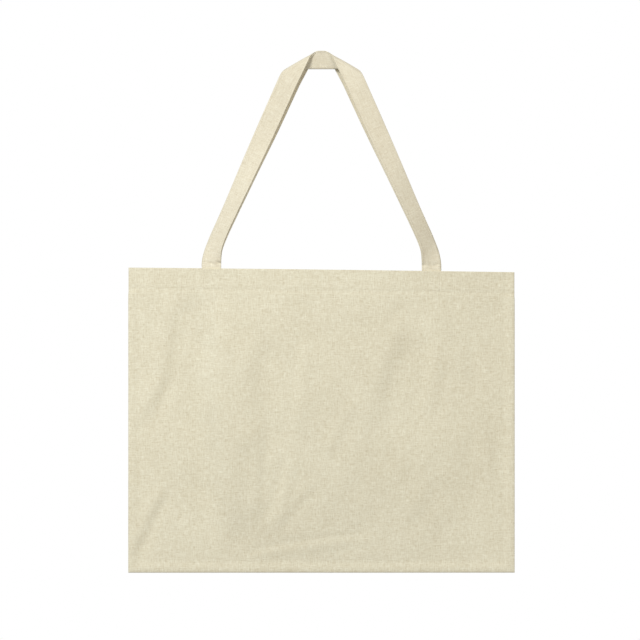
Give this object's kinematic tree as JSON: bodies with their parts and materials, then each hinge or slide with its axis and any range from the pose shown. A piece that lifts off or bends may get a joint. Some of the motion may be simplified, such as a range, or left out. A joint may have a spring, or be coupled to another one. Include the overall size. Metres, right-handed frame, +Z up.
{
  "type": "canvas tote bag",
  "caption": "Flat natural-canvas tote bag with long canvas straps, hanging by its strap loops; the mouth is hemmed and open, and each strap tips outward.",
  "frame": {"origin": "where a hook bears: the underside of the folded strap loops, in the middle of the width and between the front and the rear strap", "axes": "+Z up, +X to the right as seen from the front, and the front panel faces -Y"},
  "size_m": [0.5, 0.0436, 0.6765],
  "materials": {
    "canvas": "natural unbleached cotton canvas, plain weave",
    "strap_canvas": "natural cotton canvas, folded and stitched flat",
    "thread": "natural cotton sewing thread",
    "overlock_thread": "overlocking thread"
  },
  "bodies": {
    "bag": {"front_panel": "canvas", "rear_panel": "canvas", "front_left_strap_end": "strap_canvas", "front_right_strap_end": "strap_canvas", "rear_left_strap_end": "strap_canvas", "rear_right_strap_end": "strap_canvas", "front_left_strap_tack": "thread", "front_right_strap_tack": "thread", "rear_left_strap_tack": "thread", "rear_right_strap_tack": "thread", "front_hem_stitching": "thread", "rear_hem_stitching": "thread", "left_seam_stitching": "thread", "right_seam_stitching": "thread", "bottom_seam_stitching": "thread", "left_overlock": "overlock_thread", "right_overlock": "overlock_thread", "bottom_overlock": "overlock_thread"},
    "front_strap": {"front_strap": "strap_canvas", "front_strap_topstitching": "thread"},
    "rear_strap": {"rear_strap": "strap_canvas", "rear_strap_topstitching": "thread"}
  },
  "joints": [
    {"name": "front_strap_fold", "type": "hinge", "parent": "bag", "child": "front_strap", "pos_m": [0, -0.0163, -0.259], "axis": [1, 0, 0], "range_deg": [0, 170]},
    {"name": "rear_strap_fold", "type": "hinge", "parent": "bag", "child": "rear_strap", "pos_m": [0, 0.0163, -0.259], "axis": [-1, 0, 0], "range_deg": [0, 170]}
  ]
}
